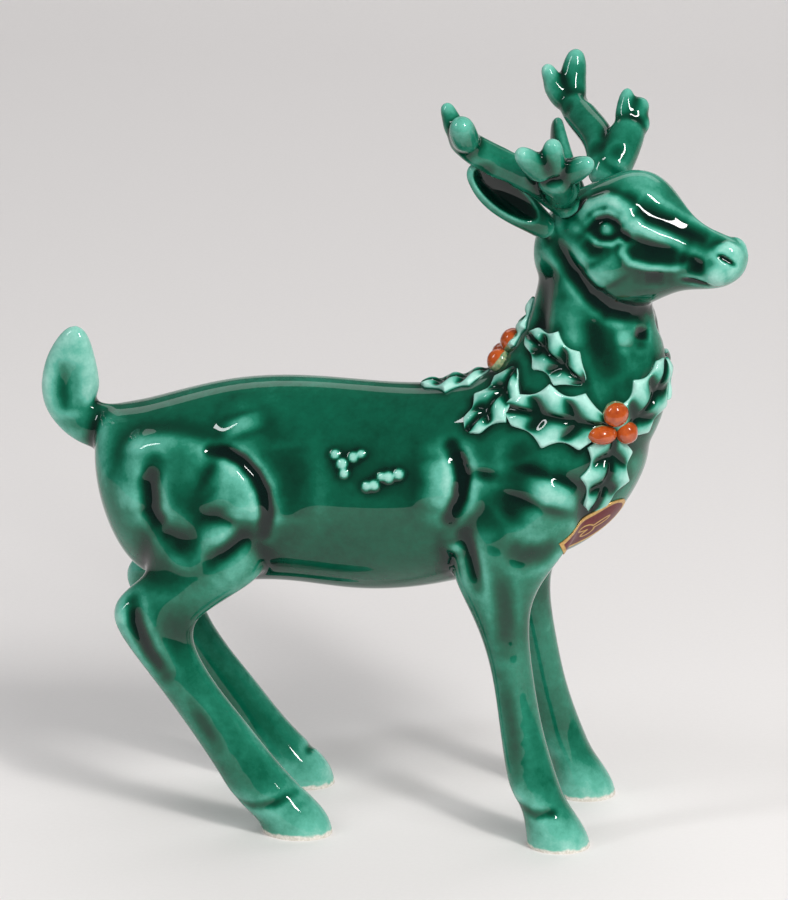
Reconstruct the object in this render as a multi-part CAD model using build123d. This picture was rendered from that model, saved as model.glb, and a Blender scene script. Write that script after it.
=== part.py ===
from build123d import *
import math
import os

# A hollow slip-cast earthenware figurine of a standing young buck with a holly collar.
# +X is forwards, +Y is the deer's left, +Z is up. Every length is in millimetres.
# The pieces are those that are cast or pressed on their own and luted together before firing.

# ---------------------------------------------------------------- driving dimensions
# torso
body_length = 137.0       # rump to breast
back_height = 107.0       # level part of the back above the ground
barrel_depth = 51.0       # back to belly
barrel_width = 40.0
body_wall = 4.0           # drain-cast wall
vent_diameter = 4.0       # firing vents, in the belly and from the neck into the torso
# neck and head
neck_length = 44.0        # base of the neck to the middle of the skull
neck_width = 27.0         # at its slimmest, side to side
neck_depth = 30.0         # at its slimmest, nape to throat
neck_wall = 3.2
head_length = 52.0        # back of the skull to the tip of the nose
head_height = 34.0
head_width = 25.5
head_yaw = -14.0          # degrees, the head looks to the deer's right
# legs
shin_width = 9.6          # side to side, at the slimmest
shin_depth = 10.0         # front to back, at the slimmest
hoof_width = 14.0
hoof_length = 15.4
shoulder_length = 31.0    # front to back
haunch_length = 42.0      # front to back
# tail, ears, antlers
tail_height = 27.0
tail_breadth = 13.0       # front to back
tail_thickness = 8.5
ear_length = 25.0
ear_width = 10.5
ear_thickness = 4.6
antler_height = 24.5      # root to the highest point
antler_spread = 72.0      # tip to tip, both antlers
antler_beam = 6.0         # diameter near the root
# holly collar
leaf_length = 25.0
leaf_width = 14.0
leaf_thickness = 2.0
leaf_lobes = 3            # pointed lobes on each edge
berry_diameter = 6.0
# sticker
label_length = 19.5
label_width = 12.0
label_thickness = 0.4

# ---------------------------------------------------------------- places that follow from them
rump_x = -0.533 * body_length
breast_x = rump_x + body_length
neck_base = Vector(rump_x + 0.855 * body_length, 0, back_height - 0.10 * barrel_depth)
skull = neck_base + Vector(0.02 * neck_length, 0, neck_length)
side_sign = {"right": -1, "left": 1}
oval_points = 8


def oval(centre, across, up, half_across, half_up):
    """A flat oval face round a centre, with its half sizes along two directions."""
    points = []
    for step in range(oval_points):
        angle = 2 * math.pi * step / oval_points
        reach = across * (half_across * math.cos(angle)) + up * (half_up * math.sin(angle))
        points.append(centre + reach)
    return Face(Wire([Edge.make_spline(points, periodic=True)]))


def limb(points, radii):
    """A round tapering stem through points, with its radius at each."""
    path = [Vector(*point) for point in points]
    faces = []
    for step, (point, radius) in enumerate(zip(path, radii)):
        before = path[max(step - 1, 0)]
        after = path[min(step + 1, len(path) - 1)]
        along = (after - before).normalized()
        across = along.cross(Vector(0.3, 0.1, 1)).normalized()
        faces.append(oval(point, across, along.cross(across), radius, radius))
    return loft(faces)


# ---------------------------------------------------------------- torso
# Each section: share of the length, its top and bottom as shares of the barrel's depth below the
# back, and its width as a share of the barrel's width.
torso_sections = [
    (0.000, 0.24, 0.46, 0.34),
    (0.025, 0.17, 0.66, 0.68),
    (0.080, 0.13, 0.90, 0.92),
    (0.170, 0.05, 0.98, 1.02),
    (0.300, -0.03, 0.96, 1.00),
    (0.470, -0.02, 1.00, 0.98),
    (0.650, -0.05, 0.92, 0.98),
    (0.760, -0.20, 0.82, 0.96),
    (0.860, -0.26, 0.72, 0.84),
    (0.940, -0.08, 0.54, 0.60),
    (0.980, 0.10, 0.36, 0.30),
]


def torso_body(inset):
    """The torso as a solid, drawn in by an inset all round."""
    faces = []
    last = len(torso_sections) - 1
    for step, (share, top, bottom, width) in enumerate(torso_sections):
        x = rump_x + share * body_length
        if step == 0:
            x += inset
        if step == last:
            x -= inset
        z_top = back_height - top * barrel_depth
        z_bottom = back_height - bottom * barrel_depth
        half_up = max((z_top - z_bottom) / 2 - inset, 1.0)
        half_across = max(width * barrel_width / 2 - inset, 1.0)
        centre = Vector(x, 0, (z_top + z_bottom) / 2)
        faces.append(oval(centre, Vector(0, 1, 0), Vector(0, 0, 1), half_across, half_up))
    return loft(faces)


# ---------------------------------------------------------------- neck and head
# Neck: share of its length, centre ahead of the neck's axis, half depth and half width as shares
# of the slimmest depth and width.
neck_sections = [
    (-0.30, -0.04, 0.50, 0.60),
    (-0.10, 0.00, 0.61, 0.66),
    (0.12, 0.00, 0.67, 0.62),
    (0.27, 0.02, 0.69, 0.58),
    (0.42, 0.08, 0.57, 0.53),
    (0.66, 0.11, 0.50, 0.50),
    (0.88, 0.15, 0.44, 0.45),
    (1.00, 0.20, 0.30, 0.34),
]
# Head, from the back of the skull to the nose: share of its length, top and bottom as shares of its
# height above the skull's middle, and its width as a share of the head's width.
head_sections = [
    (0.00, 0.08, -0.28, 0.58),
    (0.09, 0.26, -0.46, 0.86),
    (0.28, 0.46, -0.50, 0.98),
    (0.46, 0.55, -0.49, 1.00),
    (0.62, 0.48, -0.36, 0.82),
    (0.76, 0.24, -0.25, 0.58),
    (0.90, 0.16, -0.21, 0.51),
    (0.97, 0.12, -0.14, 0.40),
    (1.00, 0.06, -0.06, 0.20),
]
head_frame = Pos(skull.X, skull.Y, skull.Z) * Rot(0, 0, head_yaw)
skull_back = -0.20 * head_length


def neck_body(inset):
    """The neck as a solid, drawn in by an inset all round."""
    faces = []
    axis = skull - neck_base
    for share, ahead, half_depth, half_width in neck_sections:
        centre = neck_base + axis * share + Vector(ahead * neck_depth, 0, 0)
        depth = half_depth * neck_depth - inset
        width = half_width * neck_width - inset
        faces.append(oval(centre, Vector(0.97, 0, -0.24), Vector(0, 1, 0), depth, width))
    return loft(faces)


def head_body(inset):
    """The head as a solid in its own frame, drawn in by an inset all round."""
    faces = []
    last = len(head_sections) - 1
    for step, (share, top, bottom, width) in enumerate(head_sections):
        x = skull_back + share * head_length
        if step == 0:
            x += inset
        if step == last:
            x -= inset
        half_up = max((top - bottom) * head_height / 2 - inset, 0.8)
        half_across = max(width * head_width / 2 - inset, 0.8)
        centre = Vector(x, 0, (top + bottom) * head_height / 2)
        faces.append(oval(centre, Vector(0, 1, 0), Vector(0, 0, 1), half_across, half_up))
    return loft(faces)


torso_solid = torso_body(0)
neck_solid = neck_body(0)
head_solid = head_frame * head_body(0)


def torso():
    """The drain-cast body, with a firing vent in the belly and one up into the neck."""
    shell = torso_solid - torso_body(body_wall)
    belly_vent = Pos(rump_x + 0.45 * body_length, 0, back_height - barrel_depth)
    neck_vent = Pos(neck_base.X, 0, neck_base.Z + 0.3 * barrel_depth)
    drill = Cylinder(vent_diameter / 2, 6 * body_wall)
    return shell - belly_vent * drill - neck_vent * drill


def head_neck():
    """The drain-cast head and neck, open where it stands on the torso."""
    outside = neck_solid + head_solid
    inside = neck_body(neck_wall) + head_frame * head_body(neck_wall)
    return outside - inside - torso_solid


# ---------------------------------------------------------------- legs
# Each section, from the sole up: share of the back's height, how far behind the hoof's middle,
# and the half sizes front to back and side to side. The leg leans in towards the body as it rises.
fore_sections = [
    (0.000, 0.0, hoof_length / 2, hoof_width / 2),
    (0.050, 0.8, 0.46 * hoof_length, 0.50 * hoof_width),
    (0.095, 3.4, 0.68 * shin_depth, 0.44 * hoof_width),
    (0.130, 5.4, 0.67 * shin_depth, 0.60 * shin_width),
    (0.220, 8.0, 0.57 * shin_depth, 0.52 * shin_width),
    (0.360, 11.0, 0.51 * shin_depth, shin_width / 2),
    (0.450, 13.0, 0.56 * shin_depth, 0.56 * shin_width),
    (0.550, 15.2, 0.82 * shin_depth, 0.70 * shin_width),
    (0.640, 14.6, 0.40 * shoulder_length, 0.80 * shin_width),
    (0.760, 11.2, 0.49 * shoulder_length, 0.86 * shin_width),
    (0.860, 9.4, 0.40 * shoulder_length, 0.74 * shin_width),
    (0.930, 8.6, 0.20 * shoulder_length, 0.36 * shin_width),
]
hind_sections = [
    (0.000, 0.0, 0.54 * hoof_length, hoof_width / 2),
    (0.040, 2.0, 0.62 * hoof_length, 0.48 * hoof_width),
    (0.080, 6.0, 0.60 * hoof_length, 0.42 * hoof_width),
    (0.130, 10.6, 0.88 * shin_depth, 0.56 * shin_width),
    (0.250, 21.0, 0.76 * shin_depth, 0.52 * shin_width),
    (0.370, 31.8, 0.72 * shin_depth, 0.54 * shin_width),
    (0.470, 37.2, 0.94 * shin_depth, 0.58 * shin_width),
    (0.535, 31.0, 0.29 * haunch_length, 0.62 * shin_width),
    (0.600, 25.6, 0.44 * haunch_length, 0.80 * shin_width),
    (0.730, 26.6, 0.49 * haunch_length, 0.90 * shin_width),
    (0.850, 28.0, 0.38 * haunch_length, 0.76 * shin_width),
    (0.920, 29.0, 0.20 * haunch_length, 0.40 * shin_width),
]
# Where each hoof stands: how far it is set forwards of its pair's place, and its middle across.
hoof_pair_x = {"foreleg": rump_x + 0.852 * body_length, "hindleg": rump_x + 0.392 * body_length}
hoof_places = {
    "foreleg_right": (0.0, -17.0),
    "foreleg_left": (-1.6, 20.5),
    "hindleg_right": (0.0, -20.0),
    "hindleg_left": (-6.6, 15.0),
}
hip_spread = 0.34 * barrel_width   # middle of a leg's root from the body's middle plane
hip_share = 0.70                   # height of the hips, as a share of the back's height
hip_closing = 1.8                  # how fast the roots close in over the back above the hips


def leg(name):
    """One leg with its shoulder or haunch, cut to the curve of the torso and the neck."""
    pair = name.split("_")[0]
    ahead, hoof_y = hoof_places[name]
    hip_y = math.copysign(hip_spread, hoof_y)
    faces = []
    for share, behind, half_long, half_wide in fore_sections if pair == "foreleg" else hind_sections:
        lean = min(share / hip_share, 1.0)
        closing = 1 - hip_closing * max(share - hip_share, 0.0)
        x = hoof_pair_x[pair] + ahead * (1 - lean) - behind
        y = hoof_y + (hip_y * closing - hoof_y) * lean
        centre = Vector(x, y, share * back_height)
        faces.append(oval(centre, Vector(1, 0, 0), Vector(0, 1, 0), half_long, half_wide))
    return loft(faces) - torso_solid - neck_solid


# ---------------------------------------------------------------- tail, ears, antlers
# Along the tail from its root: backwards, upwards, and the half breadth, as shares.
tail_sections = [
    (0.15, -0.12, 0.30, 0.55),
    (-0.20, -0.06, 0.34, 0.60),
    (-0.66, 0.10, 0.44, 0.80),
    (-0.86, 0.40, 0.50, 1.00),
    (-0.72, 0.74, 0.42, 0.80),
    (-0.50, 0.96, 0.16, 0.40),
]


def tail():
    """The upright tail, broad seen from the side."""
    root = Vector(rump_x + 3.0, 0, back_height - 0.30 * barrel_depth)
    centres = []
    for back, rise, _, _ in tail_sections:
        centres.append(root + Vector(back * tail_breadth, 0, rise * tail_height))
    faces = []
    for step, (_, _, breadth, thickness) in enumerate(tail_sections):
        before = centres[max(step - 1, 0)]
        after = centres[min(step + 1, len(centres) - 1)]
        along = (after - before).normalized()
        across = along.cross(Vector(0, 1, 0))
        half_thick = thickness * tail_thickness / 2
        faces.append(oval(centres[step], across, Vector(0, 1, 0), breadth * tail_breadth, half_thick))
    return loft(faces) - torso_solid


def ear(side):
    """One ear, a thick leaf that points up, out and back from behind the antler's root."""
    out = side_sign[side]
    root = Vector(-0.08 * head_length, out * 0.42 * head_width, 0.10 * head_height)
    along = Vector(-0.50, out * 0.56, 0.66).normalized()
    across = along.cross(Vector(0.60, out * 0.76, 0.24)).normalized()
    through = along.cross(across)
    faces = []
    for share, width, thickness in [
        (-0.12, 0.50, 0.90), (0.16, 0.66, 1.00), (0.46, 1.00, 1.00), (0.76, 0.72, 0.70), (0.98, 0.16, 0.30)
    ]:
        centre = root + along * (share * ear_length)
        faces.append(oval(centre, across, through, width * ear_width / 2, thickness * ear_thickness / 2))
    return head_frame * loft(faces) - head_solid - neck_solid - pieces[f"antler_{side}"]


# Antler stems in the head's frame: forwards and up as shares of the antler's height, outwards as a
# share of half the spread, and the stem's radius as a share of the beam's diameter.
antler_stems = [
    # main beam, back to the rear palm
    [(0.06, 0.24, -0.16, 0.55), (-0.10, 0.37, 0.04, 0.53), (-0.36, 0.54, 0.26, 0.50), (-0.62, 0.70, 0.46, 0.52),
     (-0.82, 0.80, 0.66, 0.46)],
    # the two points of the rear palm
    [(-0.72, 0.76, 0.56, 0.46), (-0.88, 0.77, 0.74, 0.38), (-0.93, 0.74, 0.92, 0.20)],
    [(-0.70, 0.78, 0.56, 0.46), (-0.68, 0.90, 0.74, 0.42), (-0.65, 0.98, 0.86, 0.26)],
    # front palm and its three points
    [(-0.04, 0.34, 0.04, 0.50), (0.06, 0.50, 0.16, 0.52), (0.10, 0.62, 0.28, 0.44)],
    [(0.04, 0.58, 0.24, 0.38), (-0.04, 0.76, 0.44, 0.32), (-0.10, 0.90, 0.60, 0.20)],
    [(0.08, 0.58, 0.26, 0.40), (0.14, 0.66, 0.46, 0.32), (0.16, 0.71, 0.63, 0.20)],
    [(0.08, 0.54, 0.22, 0.38), (0.24, 0.56, 0.34, 0.32), (0.37, 0.57, 0.45, 0.20)],
]


def antler(side):
    """One antler, rooted in the top of the skull."""
    whole = Part()
    for stem in antler_stems:
        points = []
        for ahead, out, rise, _ in stem:
            y = side_sign[side] * out * antler_spread / 2
            z = 0.44 * head_height + rise * antler_height
            points.append((ahead * antler_height, y, z))
        whole += limb(points, [share * antler_beam for _, _, _, share in stem])
    return head_frame * whole - head_solid - neck_solid


# ---------------------------------------------------------------- holly collar and sticker
ground = torso_solid + neck_solid
collar_axis = Vector(neck_base.X, 0, neck_base.Z)


def spot(turn, height, climb=0.0):
    """The point on the body seen from the neck's axis, and the outward normal there.

    turn is in degrees from straight ahead, positive to the deer's left; height is above the neck's
    base; climb is how many degrees the sight line rises.
    """
    start = collar_axis + Vector(0.02 * height, 0, height)
    level = Vector(math.cos(math.radians(turn)), math.sin(math.radians(turn)), 0)
    heading = level * math.cos(math.radians(climb)) + Vector(0, 0, math.sin(math.radians(climb)))
    hits = ground.find_intersection_points(Axis(start, heading))
    ahead = [(point, normal) for point, normal in hits if (point - start).dot(heading) > 0]
    point, normal = max(ahead, key=lambda hit: (hit[0] - start).dot(heading))
    return point, normal if normal.dot(heading) > 0 else -normal


def skin(thickness):
    """A layer of one thickness over the torso and the neck."""
    return torso_body(-thickness) + neck_body(-thickness) - ground


def laid_plane(turn, height, climb, slant):
    """A plane that touches the body, with its x axis slant degrees from straight up."""
    point, normal = spot(turn, height, climb)
    up = (Vector(0, 0, 1) - normal * normal.Z).normalized()
    aside = normal.cross(up)
    heading = up * math.cos(math.radians(slant)) + aside * math.sin(math.radians(slant))
    return Plane(origin=point, x_dir=heading, z_dir=normal)


def holly_outline(size):
    """A holly leaf lying along x, its middle at the origin: pointed lobes joined by hollow arcs."""
    length = leaf_length * size
    half_width = leaf_width * size / 2
    stations = [-0.5]
    heights = [0.10]
    for lobe in range(leaf_lobes):
        place = (lobe + 0.5) / leaf_lobes - 0.5
        stations.append(place)
        heights.append(1.0 - 1.4 * place * place)
    stations.append(0.5)
    heights.append(0.0)
    edges = []
    for side in (1, -1):
        corners = [(length * s, side * half_width * h) for s, h in zip(stations, heights)]
        for (x1, y1), (x2, y2) in zip(corners, corners[1:]):
            middle = ((x1 + x2) / 2, 0.80 * (y1 + y2) / 2)
            edges.append(ThreePointArc((x1, y1), middle, (x2, y2)))
    stalk = 0.10 * half_width
    edges.append(Line((-length / 2, stalk), (-length / 2, -stalk)))
    return make_face(edges)


# One leaf: where its middle lies (turn, height and climb of the sight line), which way it points
# (slant) and its size. The leaves of the right cluster are mirrored on the left.
right_leaves = {
    "rear": (-98, 5.0, 0, 96, 1.00),
    "front": (-28, 9.5, 0, -44, 0.86),
    "lower": (-60, -7.5, 0, 170, 0.84),
    "upper": (-108, 18.5, 0, 62, 0.84),
}
nape_leaves = {
    "upper": (180, 22.0, 0, 0, 0.64),
    "right": (-156, 8.5, 0, -150, 0.76),
    "left": (156, 8.5, 0, 150, 0.76),
    "lower": (180, -2.0, 19, 180, 0.72),
}
cluster_places = {"right": (-60, 5.5), "left": (60, 5.5), "nape": (180, 15.5)}
leaf_reach = 9.0          # how far a leaf's outline is pushed through the layer, each way


def holly_leaf(turn, height, climb, slant, size):
    """One sprigged leaf, laid over the curve of the body."""
    outline = laid_plane(turn, height, climb, slant) * holly_outline(size)
    return extrude(outline, leaf_reach, both=True) & leaf_layer


def mirrored(place):
    """The same place and slant on the other side of the body."""
    turn, height, climb, slant, size = place
    return -turn, height, climb, -slant, size


def leaf_cluster(places):
    """The leaves of one cluster; where two meet, the later one is cut to the earlier."""
    laid = {}
    for leaf_name, place in places.items():
        leaf = holly_leaf(*place)
        for earlier in laid.values():
            leaf -= earlier
        laid[leaf_name] = leaf
    return laid


def berry(cluster, number):
    """One of three berries that touch round the middle of a cluster, seated on the leaves."""
    turn, height = cluster_places[cluster]
    place = laid_plane(turn, height, 0, 0)
    radius = berry_diameter / 2
    angle = math.radians(120 * number)
    ring = radius / math.cos(math.radians(30)) + 0.05
    centre = place.from_local_coords((ring * math.cos(angle), ring * math.sin(angle), 0.15 * radius))
    ball = Pos(*centre) * Sphere(radius) - ground
    for leaf in leaf_clusters[cluster].values():
        ball -= leaf
    return ball


def label_outline():
    """A shield: a straight foot, two straight flanks and a rounded head."""
    half_length = label_length / 2
    half_width = label_width / 2
    shoulder = 0.22 * label_length
    edges = [
        Line((-half_length, -half_width), (-half_length, half_width)),
        Line((-half_length, half_width), (shoulder, half_width)),
        ThreePointArc((shoulder, half_width), (half_length, 0), (shoulder, -half_width)),
        Line((shoulder, -half_width), (-half_length, -half_width)),
    ]
    return make_face(edges)


def foil_label():
    """The printed sticker on the breast."""
    outline = laid_plane(-50, -21.5, 0, -48) * label_outline()
    label = extrude(outline, leaf_reach / 2, both=True) & skin(label_thickness)
    return label - pieces["foreleg_right"] - leaf_clusters["right"]["lower"]


# ---------------------------------------------------------------- the whole
pieces = {"torso": torso(), "head_neck": head_neck(), "tail": tail()}
for name in hoof_places:
    pieces[name] = leg(name)
for side in side_sign:
    pieces[f"antler_{side}"] = antler(side)
    pieces[f"ear_{side}"] = ear(side)
leaf_layer = skin(leaf_thickness) - pieces["foreleg_right"] - pieces["foreleg_left"]
left_leaves = {leaf_name: mirrored(place) for leaf_name, place in right_leaves.items()}
leaf_clusters = {
    "right": leaf_cluster(right_leaves),
    "left": leaf_cluster(left_leaves),
    "nape": leaf_cluster(nape_leaves),
}
for cluster, leaves in leaf_clusters.items():
    for leaf_name, leaf in leaves.items():
        pieces[f"leaf_{cluster}_{leaf_name}"] = leaf
    for number in range(3):
        pieces[f"berry_{cluster}_{number + 1}"] = berry(cluster, number)
pieces["foil_label"] = foil_label()

# The origin is on the ground under the middle of the whole figure.
boxes = [piece.bounding_box() for piece in pieces.values()]
low = Vector(*[min(tuple(box.min)[axis] for box in boxes) for axis in range(3)])
high = Vector(*[max(tuple(box.max)[axis] for box in boxes) for axis in range(3)])
to_origin = Pos(-(low.X + high.X) / 2, -(low.Y + high.Y) / 2, -low.Z)
os.makedirs("parts", exist_ok=True)
for name, piece in pieces.items():
    export_step(to_origin * piece, f"parts/{name}.step")
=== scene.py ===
import math

import bmesh
import bpy
import numpy as np
from mathutils import Matrix, Vector, noise
from mathutils.bvhtree import BVHTree
from mathutils.kdtree import KDTree


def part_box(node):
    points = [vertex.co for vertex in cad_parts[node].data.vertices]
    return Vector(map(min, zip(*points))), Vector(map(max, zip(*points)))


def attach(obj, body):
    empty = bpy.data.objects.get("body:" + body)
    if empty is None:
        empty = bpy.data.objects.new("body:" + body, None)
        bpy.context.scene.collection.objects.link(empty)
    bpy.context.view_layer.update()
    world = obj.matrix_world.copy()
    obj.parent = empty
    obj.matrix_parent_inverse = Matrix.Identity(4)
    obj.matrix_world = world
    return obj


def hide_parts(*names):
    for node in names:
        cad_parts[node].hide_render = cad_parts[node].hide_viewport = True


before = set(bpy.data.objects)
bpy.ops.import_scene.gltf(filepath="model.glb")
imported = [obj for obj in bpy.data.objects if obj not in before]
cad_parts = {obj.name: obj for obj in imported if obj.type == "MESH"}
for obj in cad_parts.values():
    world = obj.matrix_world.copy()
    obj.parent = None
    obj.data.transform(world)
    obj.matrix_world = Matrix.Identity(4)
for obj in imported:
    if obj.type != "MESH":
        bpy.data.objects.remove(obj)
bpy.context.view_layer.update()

# ---------------------------------------------------------------------------------------------
# The cast figure: torso, neck and head, four legs and tail.
# Hollow white earthenware, drain-cast in plaster moulds, luted together and fettled while leather
# hard so that the joints vanish. It is modelled as one clay, then parted along the luted joints.
# ---------------------------------------------------------------------------------------------
torso_low, torso_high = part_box("torso")
MM = 0.001
LEFT, RIGHT = 1, -1
rump_station = -73.0      # x of the rump in the figure's own millimetres, 0 under the belly
middle_y = (torso_low.y + torso_high.y) / 2


def spot(x, y, z):
    """A place in the figure's own millimetres: x forwards, y to its left, z above the ground."""
    return Vector((torso_low.x + (x - rump_station) * MM, middle_y + y * MM, z * MM))


head_turn = math.radians(-14)
head_pivot = 45.0


def head_spot(ahead, out, z):
    """A place in the head's own millimetres, which looks a little to the deer's right."""
    x = head_pivot + ahead * math.cos(head_turn) - out * math.sin(head_turn)
    y = ahead * math.sin(head_turn) + out * math.cos(head_turn)
    return spot(x, y, z)


def oval_ring(bm, centre, across, up, points=36):
    """One oval section of a blank: a closed ring round a centre, reaching along two half axes."""
    through = across.cross(up).normalized() * MM
    columns = (across, up, through, centre)
    place = Matrix([[column[row] for column in columns] for row in range(3)] + [[0, 0, 0, 1]])
    made = bmesh.ops.create_circle(bm, segments=points, radius=1, matrix=place)
    return list({edge for vert in made["verts"] for edge in vert.link_edges})


def blank(bm, rings):
    """A closed stem of clay through rings of (centre, half axis across, half axis up)."""
    loops = [oval_ring(bm, *ring) for ring in rings]
    for before, after in zip(loops, loops[1:]):
        bmesh.ops.bridge_loops(bm, edges=before + after)
    bmesh.ops.holes_fill(bm, edges=loops[0] + loops[-1], sides=0)


def upright_rings(sections):
    """Rings across a trunk that runs along x, from (x, top, bottom, half width)."""
    for x, top, bottom, half_width in sections:
        up = Vector((0, 0, (top - bottom) / 2 * MM))
        yield spot(x, 0, (top + bottom) / 2), Vector((0, half_width * MM, 0)), up


def level_rings(sections):
    """Rings across a stem that stands up, from (z, back, front, y, half width)."""
    for z, back, front, y, half_width in sections:
        across = Vector(((front - back) / 2 * MM, 0, 0))
        yield spot((back + front) / 2, y, z), across, Vector((0, half_width * MM, 0))


def head_rings(sections):
    """Rings across the head, from (ahead, top, bottom, half width)."""
    side = head_spot(0, 1, 0) - head_spot(0, 0, 0)
    for ahead, top, bottom, half_width in sections:
        up = Vector((0, 0, (top - bottom) / 2 * MM))
        yield head_spot(ahead, 0, (top + bottom) / 2), side * half_width, up


barrel = [
    (-73.0, 94, 86, 3.5), (-71.6, 98, 78, 11.0), (-68.5, 99.2, 68, 16.0), (-62.5, 100.2, 58, 19.2),
    (-52, 103.8, 54.5, 20.8), (-39, 107.4, 57, 20.8), (-25, 108.8, 58.5, 20.3), (-8, 108.2, 56.0, 20.0),
    (8, 108.0, 58.0, 20.0), (20, 111, 61.5, 20.0), (30, 117, 64.5, 19.6), (40, 121, 67.5, 18.4),
    (49, 120, 72.6, 15.8), (56, 114, 80.5, 12.6), (60.2, 107, 88.5, 8.2), (61.8, 102, 94, 3.6),
]
neck = [
    (90, 26, 58, 0, 13.5), (100, 20.5, 64, 0, 16.0), (108, 20.5, 66.4, 0, 16.4),
    (114.5, 24.5, 66.6, 0, 15.4), (121, 29.8, 65.2, 0, 14.2), (128, 33.2, 63.2, 0, 13.3),
    (136, 35.0, 61.6, -0.4, 12.8), (143, 36.6, 60.6, -0.8, 12.2), (150, 39.6, 58.6, -0.8, 10.4),
    (154, 43, 55, -0.8, 6.0),
]
skull = [
    (-10.4, 148, 139, 5.0), (-8.6, 151.6, 135.5, 8.6), (-4.8, 155.4, 132, 11.2),
    (0.5, 159.4, 130, 12.5), (7, 162.8, 129.5, 13.0), (13.5, 165.2, 130.2, 12.6),
    (18.8, 164.4, 132.8, 11.4), (23.2, 160.0, 135.4, 9.8), (27.4, 155.6, 137.2, 8.2),
    (32, 152.9, 137.6, 7.1), (36.6, 151.6, 138.4, 6.8), (40, 150.4, 140.4, 5.8),
    (42.2, 148.4, 143.2, 3.2),
]
tail = [
    (-66, 93.5, 1.0, 0.0, 6.2, 4.8), (-72, 93.0, 1.0, 0.1, 6.0, 4.7),
    (-77.2, 94.6, 0.86, 0.5, 5.9, 4.4), (-79.6, 99.0, 0.3, 0.95, 7.7, 4.5),
    (-79.7, 105, -0.05, 1.0, 7.7, 4.4), (-78.9, 111, -0.25, 0.97, 6.1, 3.9),
    (-78.2, 115.8, -0.2, 0.98, 3.9, 3.0), (-77.8, 118.6, -0.2, 0.98, 1.6, 1.4),
]


def foreleg(x, hoof_y, shoulder_y):
    """Rings of a foreleg, sole to shoulder, set on from the right foreleg's place by x."""
    shape = [
        (-4.0, 36.2, 52.0, 6.8, 0), (0.0, 36.0, 51.4, 7.1, 0), (2.2, 35.7, 51.0, 7.2, 0),
        (6, 35.2, 48.9, 6.8, 0), (9.6, 34.4, 46.2, 6.2, 0.02), (12.2, 32.4, 44.8, 6.1, 0.05),
        (15, 31.0, 43.8, 5.9, 0.08), (20, 30.0, 42.0, 5.2, 0.15),
        (29, 28.6, 39.3, 4.8, 0.3), (39, 27.2, 37.4, 4.7, 0.45), (49, 24.8, 35.8, 5.2, 0.6),
        (58, 20.8, 35.4, 6.4, 0.75), (66, 16.0, 39.0, 7.6, 0.9), (76, 16.0, 47.0, 8.3, 1.0),
        (86, 17.5, 48.5, 8.0, 1.0), (95, 22, 46, 6.2, 0.9), (100, 28, 40, 3.4, 0.8),
    ]
    for z, back, front, half_width, rise in shape:
        shift = x * (1 - rise)
        yield z, back + shift, front + shift, hoof_y + (shoulder_y - hoof_y) * rise, half_width


def hindleg(x, hoof_y, hip_y):
    """Rings of a hind leg, sole to haunch, set on from the right hind leg's place by x."""
    shape = [
        (-4.0, -28.0, -10.6, 6.8, 0), (0.0, -28.4, -11.0, 7.0, 0), (2.6, -29.2, -11.4, 7.1, 0),
        (5.6, -32.6, -13.0, 6.9, 0), (8.6, -36.2, -16.0, 6.4, 0), (13.2, -38.8, -21.2, 5.9, 0.02),
        (19.6, -43.0, -26.8, 5.3, 0.05),
        (27, -48.2, -32.8, 5.1, 0.1), (34, -53.4, -39.0, 5.1, 0.15), (41, -59.0, -43.8, 5.3, 0.2),
        (47, -63.8, -46.4, 5.6, 0.25), (51.5, -65.8, -45.2, 5.8, 0.32), (55, -65.2, -40.5, 6.2, 0.42),
        (58.4, -61.8, -35.5, 7.0, 0.52), (62, -57.0, -30.0, 7.8, 0.64), (67, -57.4, -27.0, 8.6, 0.78),
        (75, -62.0, -26.8, 9.2, 0.95), (84, -65.6, -28.8, 9.0, 1.0), (92, -65.4, -32.0, 7.6, 0.95),
        (98, -60, -38, 4.0, 0.8),
    ]
    for z, back, front, half_width, rise in shape:
        shift = x * (1 - rise)
        yield z, back + shift, front + shift, hoof_y + (hip_y - hoof_y) * rise, half_width


def tail_rings():
    """Rings along the upright tail, from (x, z, across direction, half breadth, half thickness)."""
    for x, z, lean_z, lean_x, breadth, thickness in tail:
        across = Vector((lean_x, 0, lean_z)).normalized() * breadth * MM
        yield spot(x, 0, z), across, Vector((0, thickness * MM, 0))


def set_on(piece, node):
    """Hangs a finished piece under the root and hides the part of its node."""
    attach(piece, "root")
    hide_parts(node)


def shade_smooth(piece):
    for face in piece.data.polygons:
        face.use_smooth = True


def as_object(bm, name):
    """A new object from a bmesh, its place in its mesh."""
    bmesh.ops.recalc_face_normals(bm, faces=bm.faces)
    mesh = bpy.data.meshes.new(name)
    bm.to_mesh(mesh)
    bm.free()
    piece = bpy.data.objects.new(name, mesh)
    bpy.context.scene.collection.objects.link(piece)
    return piece


def run_together(bm, name, grain):
    """Rounds the blanks, then melts them into one skin of even small faces."""
    piece = as_object(bm, name)
    rounding = piece.modifiers.new("rounding", "SUBSURF")
    rounding.levels = rounding.render_levels = 2
    melting = piece.modifiers.new("melting", "REMESH")
    melting.mode = "VOXEL"
    melting.voxel_size = grain
    melting.use_smooth_shade = True
    bpy.context.view_layer.update()
    rough = piece.evaluated_get(bpy.context.evaluated_depsgraph_get())
    skin = bpy.data.meshes.new_from_object(rough)
    bpy.data.objects.remove(piece)
    return skin


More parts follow.
